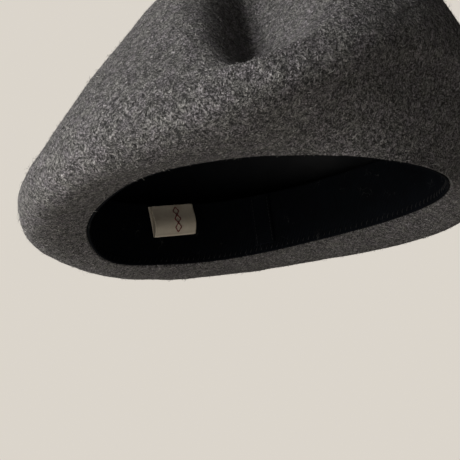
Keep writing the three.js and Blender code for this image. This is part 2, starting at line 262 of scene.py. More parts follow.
def add_object(name, vertices, faces, uv=None):
    """Mesh object from millimetre vertices and a list of face arrays, turned outwards by its volume."""
    vertices = np.asarray(vertices, float) * MM
    tris = np.concatenate([np.concatenate([f[:, [0, 1, 2]]] + ([f[:, [0, 2, 3]]] if f.shape[1] == 4 else []))
                           for f in faces])
    a, b, c = (vertices[tris[:, k]] for k in range(3))
    if (a * np.cross(b, c)).sum() < 0:
        faces = [f[:, ::-1] for f in faces]
        uv = None if uv is None else [u[:, ::-1] for u in uv]
    mesh = bpy.data.meshes.new(name)
    loops = np.concatenate([f.ravel() for f in faces])
    sizes = np.concatenate([np.full(len(f), f.shape[1]) for f in faces])
    mesh.vertices.add(len(vertices))
    mesh.vertices.foreach_set("co", vertices.ravel())
    mesh.loops.add(len(loops))
    mesh.loops.foreach_set("vertex_index", loops)
    mesh.polygons.add(len(sizes))
    mesh.polygons.foreach_set("loop_start", np.concatenate([[0], np.cumsum(sizes)[:-1]]))
    mesh.polygons.foreach_set("use_smooth", np.full(len(sizes), True))
    if uv is not None:
        layer = mesh.uv_layers.new(name="weave")
        layer.data.foreach_set("uv", np.concatenate([u.reshape(-1, 2) for u in uv]).ravel())
    mesh.update(calc_edges=True)
    if mesh.validate():
        raise RuntimeError(f"{name}: the mesh had faulty faces")
    thing = bpy.data.objects.new(name, mesh)
    bpy.context.scene.collection.objects.link(thing)
    return thing


def tube_faces(rows, count, looped=False):
    """Quads joining each of rows x count points to the next row; rows close round, and the last joins the
    first when looped."""
    k = np.arange(rows if looped else rows - 1)[:, None]
    i = np.arange(count)[None]
    upper = (k + 1) % rows
    corners = [k * count + i, k * count + (i + 1) % count, upper * count + (i + 1) % count, upper * count + i]
    return np.stack(np.broadcast_arrays(*corners), axis=-1).reshape(-1, 4)


def tube_uv(count, width, heights):
    """UV corners for tube_faces: u runs 0 to width metres round the piece, v follows heights in metres."""
    k = np.arange(len(heights) - 1)[:, None]
    i = np.arange(count)[None]
    low, high = heights[k], heights[k + 1]
    u0, u1 = i / count * width, (i + 1) / count * width
    corners = [(u0, low), (u1, low), (u1, high), (u0, high)]
    stacked = [np.stack(np.broadcast_arrays(*c), axis=-1) for c in corners]
    return np.stack(stacked, axis=-2).reshape(-1, 4, 2)


def fan_faces(pole, row_start, count, flip):
    """Triangles joining a row of points to one pole point."""
    i = np.arange(count)
    j = (i + 1) % count
    sides = (row_start + j, row_start + i) if flip else (row_start + i, row_start + j)
    return np.stack([np.full(count, pole), *sides], axis=-1)


def closed_shell(name, rows, first_pole=None, last_pole=None):
    """Closed body from rows of points: looped when it has no poles, else capped with a fan at each pole."""
    rows = np.asarray(rows)
    count = rows.shape[1]
    points = rows.reshape(-1, 3)
    if first_pole is None:
        return add_object(name, points, [tube_faces(len(rows), count, looped=True)])
    total = len(points)
    points = np.concatenate([points, [first_pole, last_pole]])
    faces = [tube_faces(len(rows), count), fan_faces(total, 0, count, True),
             fan_faces(total + 1, total - count, count, False)]
    return add_object(name, points, faces)


def finish(thing, material, body, slot, *nodes):
    """Gives a piece its material and body, and hides the CAD nodes that it stands for; the slot is not used.
    """
    thing.data.materials.append(material)
    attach(thing, body)
    if nodes:
        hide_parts(*nodes)
    return thing


def degrees_round(count):
    """Evenly spaced angles round the head, in degrees."""
    return np.arange(count) * 360.0 / count


# ---------------------------------------------------------------- materials

class Nodes:
    """Short-hand for building one material's node tree."""

    def __init__(self, name):
        self.material = bpy.data.materials.new(name)
        self.material.use_nodes = True
        self.tree = self.material.node_tree
        self.shader = self.tree.nodes["Principled BSDF"]

    def add(self, kind, values=None, **settings):
        """A node of a kind, with its settings, and its inputs given as sockets or values."""
        node = self.tree.nodes.new(kind)
        for key, value in settings.items():
            setattr(node, key, value)
        for key, value in (values or {}).items():
            self.put(node.inputs[key], value)
        return node

    def put(self, socket, value):
        """Links a socket, or sets its value."""
        if isinstance(value, bpy.types.NodeSocket):
            self.tree.links.new(value, socket)
        else:
            socket.default_value = value

    def math(self, operation, a, b=0.0, c=0.0, clamp=False):
        """One Math node."""
        node = self.add("ShaderNodeMath", {0: a, 1: b, 2: c}, operation=operation, use_clamp=clamp)
        return node.outputs[0]

    def coordinates(self, kind="Object"):
        """Object or UV coordinates."""
        return self.add("ShaderNodeTexCoord").outputs[kind]

    def noise(self, vector, scale, detail=2.0, roughness=0.5, distortion=0.0, kind="Fac"):
        """One Noise Texture."""
        node = self.add("ShaderNodeTexNoise", {"Vector": vector, "Scale": scale, "Detail": detail,
                                               "Roughness": roughness, "Distortion": distortion})
        return node.outputs[kind]

    def shift(self, vector, by):
        """Coordinates moved by a fixed amount, so that layers of one texture differ."""
        return self.add("ShaderNodeVectorMath", {0: vector, 1: by}, operation="ADD").outputs[0]

    def ramp(self, value, low, high, to_low=0.0, to_high=1.0, smooth=True):
        """Value mapped from low..high to to_low..to_high."""
        node = self.add("ShaderNodeMapRange", {"Value": value, "From Min": low, "From Max": high,
                                               "To Min": to_low, "To Max": to_high})
        node.interpolation_type = "SMOOTHSTEP" if smooth else "LINEAR"
        return node.outputs[0]

    def mix(self, factor, a, b):
        """Two colours mixed."""
        node = self.add("ShaderNodeMix", data_type="RGBA")
        for key, value in ((0, factor), (6, a), (7, b)):
            self.put(node.inputs[key], value)
        return node.outputs[2]

    def bump(self, height, distance, strength=1.0):
        """Bump from a height between 0 and 1, distance in metres."""
        values = {"Height": height, "Distance": distance, "Strength": strength}
        return self.add("ShaderNodeBump", values).outputs[0]

    def surface(self, **values):
        """Inputs of the surface shader by name, with underscores for spaces."""
        for key, value in values.items():
            self.put(self.shader.inputs[key.replace("_", " ")], value)
        return self.material


def rgba(colour, gain=1.0):
    """Colour times gain, with alpha 1."""
    return (*(min(1.0, c * gain) for c in colour), 1.0)


def curly_lines(n, vector, scale, width):
    """Thin curling lines: where a noise passes through its middle value, within a width."""
    return n.ramp(n.math("ABSOLUTE", n.math("SUBTRACT", n.noise(vector, scale, 1.0, 0.45, 0.35), 0.5)),
                  0.0, width, 1.0, 0.0)


PALE_FIBRES = ((620.0, 0.055, 0.48), (760.0, 0.06, 0.48), (940.0, 0.06, 0.50))  # scale, width, break
DARK_FIBRES = (640.0, 0.09)
GROUND_SHARE, CLUMP_SHARE, PALE_SHARE = 0.40, 0.22, 0.52  # of the felt's tone
FELT_RELIEF = 0.0014


def felt_material(felt):
    """Heather wool felt: dark ground, layers of pale and dark curling fibres broken into short lengths, slow
    changes of tone, and a matted relief."""
    n = Nodes("wool_felt")
    place = n.coordinates()
    warp = n.add("ShaderNodeVectorMath", {0: n.noise(place, 210.0, 2.0, kind="Color"), 1: (0.5, 0.5, 0.5)},
                 operation="SUBTRACT").outputs[0]
    warp = n.add("ShaderNodeVectorMath", {0: warp, "Scale": 0.004}, operation="SCALE").outputs[0]
    curled = n.add("ShaderNodeVectorMath", {0: place, 1: warp}, operation="ADD").outputs[0]
    layers = []
    for k, (scale, width, breaks) in enumerate(PALE_FIBRES):
        moved = n.shift(curled, (0.31 * k, 0.17 * k, -0.23 * k))
        lines = curly_lines(n, moved, scale, width)
        cut = n.ramp(n.noise(n.shift(place, (0.4 * k, 0.9, 0.2)), 620.0, 1.0), breaks - 0.05, breaks + 0.05)
        layers.append(n.math("MULTIPLY", lines, cut))
    pale = n.math("MAXIMUM", n.math("MAXIMUM", layers[0], layers[1]), layers[2])
    ground = n.ramp(n.noise(curled, 1250.0, 2.0, 0.65), 0.44, 0.60)
    clumps = n.ramp(n.noise(n.shift(place, (0.7, 0.1, 0.4)), 400.0, 3.0, 0.65), 0.40, 0.62)
    slow = n.ramp(n.noise(place, 34.0, 3.0, 0.55), 0.3, 0.7, 0.86, 1.14, smooth=False)
    tone = n.math("MULTIPLY_ADD", ground, GROUND_SHARE, n.math("MULTIPLY", clumps, CLUMP_SHARE))
    tone = n.math("ADD", tone, n.math("MULTIPLY", pale, PALE_SHARE))
    dark_lines = curly_lines(n, n.shift(curled, (0.9, 0.6, 0.3)), *DARK_FIBRES)
    tone = n.math("MULTIPLY", tone, n.ramp(dark_lines, 0.0, 1.0, 1.0, 0.08, smooth=False))
    tone = n.math("MULTIPLY", tone, slow, clamp=True)
    tint = n.ramp(n.noise(n.shift(place, (0.2, 0.5, 0.8)), 150.0, 3.0, 0.7), 0.35, 0.65)
    pale_wool = n.mix(tint, rgba(felt.light), rgba([c * k for c, k in zip(felt.light, (0.98, 0.93, 1.03))]))
    colour = n.mix(tone, rgba(felt.dark), pale_wool)
    height = n.math("ADD", n.math("MULTIPLY", pale, 0.35),
                    n.math("MULTIPLY_ADD", ground, 0.35, n.math("MULTIPLY", clumps, 0.4)))
    return n.surface(Base_Color=colour, Roughness=0.95, Specular_IOR_Level=0.12, Sheen_Weight=0.12,
                     Sheen_Roughness=0.55, Sheen_Tint=rgba((0.78, 0.77, 0.75)),
                     Normal=n.bump(height, FELT_RELIEF))


def fuzz_material(felt):
    """Loose wool fibres: each one has its own tone, from its tone attribute."""
    n = Nodes("wool_fuzz")
    tone = n.add("ShaderNodeAttribute", attribute_name="tone", attribute_type="GEOMETRY").outputs["Fac"]
    colour = n.mix(tone, rgba(felt.dark, 1.2), rgba(felt.light, 1.25))
    return n.surface(Base_Color=colour, Roughness=0.8, Specular_IOR_Level=0.2)


def satin_material(inside):
    """Black satin: fine diagonal float threads whose soft sheen is painted into the base colour, as a painted
    highlight up to half again lighter on the floats.
    """
    n = Nodes("black_satin")
    place = n.coordinates()
    turned = n.add("ShaderNodeMapping", {"Vector": place, "Rotation": (0.6, 0.3, 0.8)}).outputs[0]
    floats = n.add("ShaderNodeTexWave", {"Vector": turned, "Scale": 900.0, "Distortion": 1.5, "Detail": 1.0,
                                         "Detail Scale": 2.0}, wave_type="BANDS").outputs["Fac"]
    mottled = n.ramp(n.noise(place, 60.0, 3.0), 0.3, 0.7, 0.75, 1.25, smooth=False)
    # painted sheen: the base colour is lighter along the float threads, standing in for the light that they
    # catch
    colour = n.mix(n.math("MULTIPLY", floats, 0.5), rgba(inside.satin), rgba(inside.satin, 2.0))
    rough = n.math("MULTIPLY", n.ramp(floats, 0.0, 1.0, 0.36, 0.5), mottled)
    return n.surface(Base_Color=colour, Roughness=rough, Specular_IOR_Level=0.12,
                     Normal=n.bump(floats, 0.00008, 0.5))


def ribbon_material(inside):
    """Black ribbed ribbon: fine cross threads over the ribs, dull, with a few pale specks of wool lint."""
    n = Nodes("black_ribbon")
    place = n.coordinates()
    threads = n.noise(place, 2600.0, 2.0, 0.6)
    worn = n.noise(place, 90.0, 3.0, 0.6)
    lint = n.math("MULTIPLY", curly_lines(n, place, 260.0, 0.012),
                  n.ramp(n.noise(place, 140.0, 1.0), 0.6, 0.68))
    colour = n.mix(n.math("MULTIPLY", threads, n.ramp(worn, 0.3, 0.7, 0.4, 1.0)),
                   rgba(inside.ribbon, 0.7), rgba(inside.ribbon, 1.9))
    colour = n.mix(n.math("MULTIPLY", lint, 0.35), colour, (0.10, 0.10, 0.095, 1.0))
    return n.surface(Base_Color=colour, Roughness=0.85, Specular_IOR_Level=0.08,
                     Normal=n.bump(threads, 0.00012, 0.6))


def thread_material(name, colour):
    """Twisted sewing thread: fine slanting plies seen through its UV map."""
    n = Nodes(name)
    place = n.coordinates("UV")
    plies = n.add("ShaderNodeTexWave", {"Vector": place, "Scale": 0.9, "Distortion": 0.2}, wave_type="BANDS",
                  bands_direction="DIAGONAL").outputs["Fac"]
    shade = n.mix(plies, rgba(colour, 0.55), rgba(colour, 1.25))
    return n.surface(Base_Color=shade, Roughness=0.55, Specular_IOR_Level=0.35,
                     Normal=n.bump(plies, 0.00006, 0.6))


def label_material(inside):
    """Woven taffeta: over-and-under threads a third of a millimetre apart, on the label's UV map in metres,
    yellowed and lightly soiled in places."""
    n = Nodes("label_taffeta")
    place = n.coordinates("UV")
    across = n.add("ShaderNodeTexWave", {"Vector": place, "Scale": 480.0, "Distortion": 0.25},
                   wave_type="BANDS", bands_direction="X").outputs["Fac"]
    along = n.add("ShaderNodeTexWave", {"Vector": place, "Scale": 620.0, "Distortion": 0.25},
                  wave_type="BANDS", bands_direction="Y").outputs["Fac"]
    weave = n.math("MULTIPLY_ADD", across, 0.5, n.math("MULTIPLY", along, 0.5))
    soiled = n.ramp(n.noise(n.coordinates(), 130.0, 4.0, 0.6), 0.35, 0.75)
    colour = n.mix(n.ramp(weave, 0.15, 0.7), rgba(inside.cream, 0.72), rgba(inside.cream, 1.08))
    colour = n.mix(n.math("MULTIPLY", soiled, 0.35), colour, rgba((0.44, 0.36, 0.26)))
    return n.surface(Base_Color=colour, Roughness=0.75, Specular_IOR_Level=0.3, Sheen_Weight=0.1,
                     Normal=n.bump(weave, 0.00012, 0.8))


# ---------------------------------------------------------------- pieces

FELT_AROUND = 420
FUZZ_PIECES = 4
FUZZ_SEED = 40
FUZZ_LYING = 0.80  # share of the fibres that lie down


def felt_relief(points, felt):
    """Uneven surface of blocked felt: slow swells, lumps and a fine matting, in millimetres."""
    return (0.8 * lattice_noise(points, 42.0, 1) + 0.38 * lattice_noise(points, 15.0, 2)
            + 0.14 * lattice_noise(points, 5.0, 3) + 0.07 * lattice_noise(points, 1.9, 4))


def make_felt_shell(felt, material):
    """Outer face from rim to top, inner face back down, and a rounded cut edge that joins them at the rim."""
    angle = degrees_round(FELT_AROUND)[None]
    s_out = np.concatenate([np.linspace(0, 0.985, 150), [0.992, 0.997]])[:, None]
    outer = outer_face(angle, s_out, felt)
    normal = inward(angle, s_out, felt)
    calm = np.clip((1 - s_out) / 0.03, 0, 1)
    outer = outer - normal * (felt_relief(outer, felt) * calm)[..., None]
    s_in = np.concatenate([np.linspace(0, 0.96, 44), [0.985, 0.997]])[:, None]
    inner = skin(angle, s_in, felt.thickness, felt)
    turn = np.linspace(0, np.pi, 8)[1:-1, None]
    depth = felt.thickness * (1 - np.cos(turn)) / 2
    wave = 1.2 + 0.35 * lattice_noise(skin(angle, 0 * turn, depth, felt), 9.0, 5)
    edge = skin(angle, 0 * turn, depth, felt)
    radial = unit(edge * np.array([1.0, 1.0, 0.0]))
    edge = edge - radial * (wave * np.sin(turn))[..., None]
    rows = np.concatenate([inner[::-1], edge[::-1], outer])
    top = np.array([0.0, 0.0, felt.crown_height])
    shell = closed_shell("felt_body", rows, top - [0, 0, felt.thickness], top)
    finish(shell, material, "beret", "felt", "felt_shell")
    return shell


def make_fuzz(name, felt, material, seed):
    """Loose fibres standing on the outer face: three-sided tapered threads of two bent lengths, most of them
    lying down, spread evenly by area. A fibre's tone is a random number plus a noise of its place, so that
    neighbours mat together."""
    rng = np.random.default_rng(seed)
    angle = np.linspace(0, 360, 181)[:, None]
    s = np.linspace(0.0, 0.995, 160)[None]
    grid = outer_face(angle, s, felt)
    across = np.linalg.norm(np.diff(grid, axis=0)[:, :-1], axis=-1)
    up = np.linalg.norm(np.diff(grid, axis=1)[:-1], axis=-1)
    share = (across * up).ravel()
    count = felt.fuzz_count
    cell = rng.choice(share.size, count, p=share / share.sum())
    a = (cell // (s.size - 1) + rng.random(count)) * 2.0
    t = s[0, cell % (s.size - 1)] + rng.random(count) * s[0, 1]
    root = outer_face(a, t, felt)
    out = -inward(a, t, felt)
    root = root + out * (felt_relief(root, felt) - 0.25)[:, None]
    side = unit(np.cross(out, rng.normal(size=(count, 3))))
    other = np.cross(out, side)
    length = felt.fuzz_length * np.exp(rng.normal(0, 0.35, count))
    flat = rng.random(count) < FUZZ_LYING
    lift = np.radians(np.where(flat, rng.uniform(2, 14, count), rng.uniform(14, 50, count)))
    curl = rng.normal(0, 0.32, count)
    radius = rng.uniform(0.04, 0.10, count)
    lean = side * np.cos(lift)[:, None] + out * np.sin(lift)[:, None]
    middle = root + lean * (0.5 * length)[:, None] + other * (curl * 0.14 * length)[:, None]
    tip = root + lean * (0.92 * length)[:, None] + other * (curl * 0.75 * length)[:, None]
    tip = tip - out * (0.22 * length * np.sin(lift))[:, None]
    turn = np.radians([90.0, 210.0, 330.0])[:, None, None]
    ring = np.cos(turn) * other + np.sin(turn) * np.cross(lean, other)
    low = root + ring * radius[:, None]
    high = middle + ring * (0.8 * radius)[:, None]
    points = np.concatenate([low, high, tip[None]]).transpose(1, 0, 2).reshape(-1, 3)
    first = np.arange(count)[:, None] * 7
    quads = np.concatenate([first + np.array(q) for q in ((0, 1, 4, 3), (1, 2, 5, 4), (2, 0, 3, 5))])
    tris = np.concatenate([first + np.array(q) for q in ((3, 4, 6), (4, 5, 6), (5, 3, 6), (2, 1, 0))])
    fuzz = add_object(name, points, [quads, tris])
    matted = 0.45 * lattice_noise(root, 1.3, 31) + 0.08
    tone = np.repeat(np.clip(0.7 * rng.beta(0.5, 0.7, count) + matted, 0, 1), 7)
    fuzz.data.attributes.new("tone", "FLOAT", "POINT").data.foreach_set("value", tone)
    return finish(fuzz, material, "beret", "felt")


STALK_HEIGHT, STALK_SUNK = 11.0, 0.7
STALK_LEAN = (1.1, -0.7)


def make_stalk(felt, material):
    """Stalk at the top: circles of a flared, uneven radius carried up a gently bending line."""
    around, rows = 40, 48
    t = np.linspace(0, 1, rows)[:, None]
    turn = np.radians(degrees_round(around))[None]
    flare = 2.3 * np.exp(-((t / 0.10) ** 2))
    end = np.sqrt(np.clip(1 - np.clip((t - 0.84) / 0.16, 0, 1) ** 2, 0, 1))
    radius = (2.15 - 0.35 * t + flare) * end + 0.02
    lean_x, lean_y = (lean * t**2 for lean in STALK_LEAN)
    z = felt.crown_height - STALK_SUNK + (STALK_HEIGHT + STALK_SUNK) * t + 0 * turn
    rows_at = np.stack([lean_x + radius * np.cos(turn), lean_y + radius * np.sin(turn), z], axis=-1)
    centre = np.stack([lean_x, lean_y, z[:, :1]], axis=-1)
    twist = 0.13 * np.sin(3 * turn + 9 * t) + 0.14 * lattice_noise(rows_at, 1.3, 6)
    rows_at = rows_at + unit(rows_at - centre) * (twist * end)[..., None]
    stalk = closed_shell("felt_stalk", rows_at, rows_at[0].mean(0), rows_at[-1].mean(0))
    return finish(stalk, material, "beret", "felt", "stalk")


def lining_depth(angle, s, seed):
    """Depth of the lining's outer face: sine gathers that fade away from the seam, soft noise folds, and a
    ridge where the seam's allowance stands."""
    a = np.radians(angle)
    gather = 0.5 + 0.5 * np.sin(41 * a + 2.2 * np.sin(5 * a + seed))
    to_seam = np.exp(-((s - SEAM_AT) / 0.10) ** 2)
    ridge = 0.7 * np.exp(-((s - SEAM_AT) / 0.008) ** 2)
    spot = np.stack(np.broadcast_arrays(60 * np.cos(a), 60 * np.sin(a), 90 * s), axis=-1)
    folds = 0.9 * (1 + lattice_noise(spot, 22.0, 11 + seed)) * np.clip((s - HEM_AT) / 0.08, 0, 1)
    return LINING_DEPTH + 0.9 * gather * to_seam + ridge + folds * np.clip((1 - s) / 0.1, 0, 1)


LININGS = (  # name, CAD node, first and last s, rows, flat size in metres, area in square metres
    ("satin_crown", "crown_lining", SEAM_AT + 0.004, 0.995, 90, (0.32, 0.32), 0.069),
    ("satin_side", "side_lining", HEM_AT, SEAM_AT - 0.004, 64, (0.66, 0.034), 0.0175),
)


def make_linings(felt, material):
    """The two linings: closed skins half a millimetre thick that follow the felt from inside."""
    angle = degrees_round(360)[None]
    for seed, (name, node, start, stop, count, flat, area) in enumerate(LININGS):
        s = np.linspace(start, stop, count)[:, None]
        depth = lining_depth(angle, s, seed)
        upper, lower = (skin(angle, s, depth + k, felt, LINING_SLACK) for k in (0, SATIN_THICKNESS))
        poles = ()
        if node == "crown_lining":
            top = np.array([0.0, 0.0, felt.crown_height - LINING_DEPTH])
            poles = (top - [0, 0, SATIN_THICKNESS], top)
        lining = closed_shell(name, np.concatenate([lower[::-1], upper]), *poles)
        finish(lining, material, "beret", "lining", node)


def band_point(angle, inset, height):
    """Point beside the band: inset from the rim's oval, height above the waving rim."""
    a = np.radians(angle)
    r = rim_radius(angle) - inset
    return np.stack(np.broadcast_arrays(r * np.cos(a), r * np.sin(a), rim_height(angle) + height), axis=-1)


def band_sway(angle, height, inside):
    """How far the slack ribbon leans in, in millimetres: three sine waves round the band, times the height's
    share of the band to the power 1.5."""
    a = np.radians(angle)
    slack = 0.45 * np.sin(3 * a + 0.7) + 0.35 * np.sin(7 * a + 2.1) + 0.18 * np.sin(13 * a)
    return slack * (np.clip(height / inside.band_height, 0, 1)) ** 1.5 + 0 * height


RIBS = 516  # about one to the millimetre of the opening's length
BAND_THICKNESS = 1.0
BAND_FOOT = 0.4


def make_sweatband(inside, material):
    """Ribbon standing inside the rim: a thin closed strip whose faces carry cosine ribs, thicker woven edges,
    and a slack free top."""
    angle = degrees_round(RIBS * 4)[None]
    top = inside.band_height
    heights = np.array([BAND_FOOT, 0.9, 1.6, 4.0, 12.0, 22.0, 31.0, top - 1.6, top - 0.8, top - 0.1])[:, None]
    rib = 0.11 * np.cos(np.radians(angle * RIBS))
    to_edge = np.minimum(heights - BAND_FOOT, top - heights)
    calm = np.clip(to_edge / 1.6, 0, 1)
    bead = 0.16 * np.exp(-((to_edge - 0.6) / 0.5) ** 2) - 0.3 * np.exp(-((to_edge / 0.25) ** 2))
    sway = band_sway(angle, heights, inside)
    outer = band_point(angle, BAND_INSET + sway - bead - rib * calm * 0.6, heights)
    inner = band_point(angle, BAND_INSET + BAND_THICKNESS + sway + bead + rib * calm, heights)
    band = closed_shell("ribbon_band", np.concatenate([outer, inner[::-1]]))
    finish(band, material, "beret", "ribbon", "sweatband")
    return band


TAB_WIDTH, TAB_THICKNESS = 12.0, 0.7
TAB_FOOT, TAB_SHORT = 5.0, 5.6  # height of the tab's foot, and how much shorter than the band the tab is
TAB_STITCH_AT = 0.78  # stitch lines, as a share of the tab's half width
TAB_INSET = BAND_INSET + BAND_THICKNESS + 0.3
TAB_HALF_ANGLE = math.degrees(TAB_WIDTH / 2 / OPENING_HALF[1])


def make_tab(inside, material):
    """Tab over the band's join: a flattened loop section swept up the band, with cosine cross ribs."""
    around, rows = 44, 150
    t = np.linspace(0, 1, rows)[:, None]
    turn = np.radians(degrees_round(around))[None]
    height = TAB_FOOT + (inside.band_height - TAB_SHORT) * t
    wide = np.sign(np.cos(turn)) * np.abs(np.cos(turn)) ** 0.28
    thick = np.sign(np.sin(turn)) * np.abs(np.sin(turn)) ** 0.6
    end = np.clip(np.minimum(t, 1 - t) / 0.012, 0.25, 1)
    rib = 1 + 0.14 * np.cos(2 * np.pi * height / 1.0)
    angle = TAB_ANGLE + TAB_HALF_ANGLE * wide * (0.97 + 0.03 * end)
    sway = band_sway(angle, height, inside)
    inset = TAB_INSET + TAB_THICKNESS / 2 + sway + thick * TAB_THICKNESS / 2 * end * rib
    points = band_point(angle, inset, height + 0 * turn)
    tab = closed_shell("ribbon_tab", points, points[0].mean(0), points[-1].mean(0))
    finish(tab, material, "beret", "ribbon", "band_join_tab")
    return tab


THREAD_SIDES, THREAD_RINGS = 6, 7


def make_stitches(name, start, middle, end, normal, radius, material, body, slot, *nodes):
    """Separate stitches: each one a six-sided thread along the parabola start, middle, end, drawn in at its
    ends."""
    t = np.linspace(0, 1, THREAD_RINGS)[:, None, None]
    start, middle, end, normal = (np.asarray(p, float) for p in (start, middle, end, normal))
    line = (1 - t) ** 2 * start + 2 * t * (1 - t) * middle + t**2 * end
    along = unit(2 * (1 - t) * (middle - start) + 2 * t * (end - middle))
    across = unit(np.cross(along, normal))
    up = np.cross(across, along)
    taper = np.array([0.45, 0.85, 1.0, 1.0, 1.0, 0.85, 0.45])[:, None, None] * radius
    turn = np.radians(degrees_round(THREAD_SIDES))[:, None, None, None]
    ring = line + taper * (np.cos(turn) * across + np.sin(turn) * up)
    count = start.shape[0]
    rings = ring.transpose(2, 1, 0, 3).reshape(count, -1, 3)
    caps = np.stack([line[0] - along[0] * radius * 0.4, line[-1] + along[-1] * radius * 0.4], axis=1)
    points = np.concatenate([rings, caps], axis=1).reshape(-1, 3)
    poles = THREAD_RINGS * THREAD_SIDES
    first = np.arange(count)[:, None, None] * (poles + 2)
    quads = (first + tube_faces(THREAD_RINGS, THREAD_SIDES)[None]).reshape(-1, 4)
    caps = np.concatenate([fan_faces(poles, 0, THREAD_SIDES, True),
                           fan_faces(poles + 1, poles - THREAD_SIDES, THREAD_SIDES, False)])
    uv_one = tube_uv(THREAD_SIDES, 6.0, np.arange(float(THREAD_RINGS)) * 2)
    uv_quads = np.tile(uv_one, (count, 1, 1))
    stitches = add_object(name, points, [quads, (first + caps[None]).reshape(-1, 3)],
                          [uv_quads, np.zeros((count * len(caps), 3, 2))])
    return finish(stitches, material, body, slot, *nodes)


def make_seams(felt, inside, black):
    """Every row of black stitches: band foot, lining seam, lining hem and both edges of the tab."""
    step = degrees_round(150)
    face = BAND_INSET + BAND_THICKNESS
    radial = unit(band_point(step, 0, 0) * np.array([-1.0, -1.0, 0.0]))
    make_stitches("stitches_rim", band_point(step, face - 0.15, 4.6),
                  band_point(step + 0.6, face + 0.75, 3.2), band_point(step + 1.2, face - 0.15, 1.8),
                  radial, 0.22, black, "beret", "thread", "rim_stitching")
    for name, at, count, lift, node in (("stitches_seam", SEAM_AT - 0.006, 190, 2.3, "lining_seam_stitching"),
                                        ("stitches_hem", HEM_AT + 0.022, 130, 0.6, "lining_hem_stitching")):
        step = degrees_round(count)
        reach = 0.33 * 360 / count
        s = np.full(count, at)
        depth = [lining_depth(step + k * reach, s, 1) + SATIN_THICKNESS for k in (-1, 0, 1)]
        points = [skin(step + k * reach, s, d + extra, felt, LINING_SLACK)
                  for k, d, extra in zip((-1, 0, 1), depth, (-0.1, 0.5, -0.1))]
        make_stitches(name, *points, inward(step, s, felt), 0.24, black, "beret", "thread", node)
    heights = np.arange(6.6, inside.band_height - 2.4, 2.1)
    for side, node in ((-1, "band_join_stitching_left"), (1, "band_join_stitching_right")):
        angle = np.full(len(heights), TAB_ANGLE + side * TAB_HALF_ANGLE * TAB_STITCH_AT)
        inset = TAB_INSET + TAB_THICKNESS + band_sway(angle, heights, inside)
        name = "stitches_tab_left" if side < 0 else "stitches_tab_right"
        make_stitches(name, band_point(angle, inset - 0.1, heights),
                      band_point(angle, inset + 0.4, heights + 0.75),
                      band_point(angle, inset - 0.1, heights + 1.5), -unit(band_point(angle, 0, 0)), 0.2,
                      black, "beret", "thread", node)


LABEL_BULGE = 2.0
LABEL_SLANT = -1.8
LABEL_HALF_DEPTH = 0.85  # from the back leaf to the label's middle


def label_frame(inside):
    """The label's own directions, straight in from the band and along it, and the middle of its top edge."""
    a = math.radians(LABEL_ANGLE)
    wide, deep = OPENING_HALF
    straight_in = unit(np.array([-math.cos(a) / wide**2, -math.sin(a) / deep**2, 0.0]))
    along = np.cross(straight_in, [0.0, 0.0, 1.0])
    hinge = band_point(np.array(LABEL_ANGLE), BAND_INSET + BAND_THICKNESS, inside.band_height - LABEL_BELOW)
    return straight_in, along, hinge + straight_in * (LABEL_WALL_GAP + LABEL_HALF_DEPTH)


def label_surface(t, w, inside):
    """The label's middle layer at t from 0 (back leaf's top) through the fold (0.5) to 1 (front leaf's top),
    and w from -1 to 1 across: two leaves that part towards a plump half-circle fold, the front one bulged by
    a sine, bowed and a little askew."""
    straight_in, along, hinge = label_frame(inside)
    fold = 1.0
    leaf = inside.label_drop - fold
    q = np.abs(2 * t - 1)
    share = 1 - fold * math.pi / 2 / (leaf + fold * math.pi / 2)
    down = np.clip((1 - q) / share, 0, 1)
    round_it = np.clip((1 - q - share) / (1 - share), 0, 1) * math.pi / 2
    gap = 0.42 + (fold - 0.42) * down**2
    deep = np.sign(t - 0.5) * gap * np.cos(round_it)
    z = -leaf * down - fold * np.sin(round_it)
    reach = -z / inside.label_drop
    bow = 0.55 * w**2 * reach + 0.35 * reach * np.sin(2.2 * w + 0.6)
    bow = bow + LABEL_BULGE * np.sin(math.pi * down**1.6) * (t > 0.5)
    slant = LABEL_SLANT * w
    width = inside.label_width / 2 * w * (1 - 0.012 * reach) + 1.4 * (1 - down) * (t < 0.5)
    return (hinge + straight_in * (deep + bow)[..., None] + along * width[..., None]
            + np.array([0.0, 0.0, 1.0]) * (z + slant)[..., None])


def motif_line(inside):
    """Points of the label's woven motif, across and down from the middle of its top edge: three small outline
    diamonds, each one turn of nine points round a square norm."""
    turn = np.radians(np.arange(9) * 45.0)
    size = np.abs(np.cos(turn)) + np.abs(np.sin(turn))
    one = np.stack([2.0 * np.cos(turn) / size, 2.5 * np.sin(turn) / size], axis=-1)
    middles = np.stack([np.full(3, -1.6), inside.label_drop * np.array([0.22, 0.50, 0.78])], axis=-1)
    return (middles[:, None] + one[None]).reshape(-1, 2)


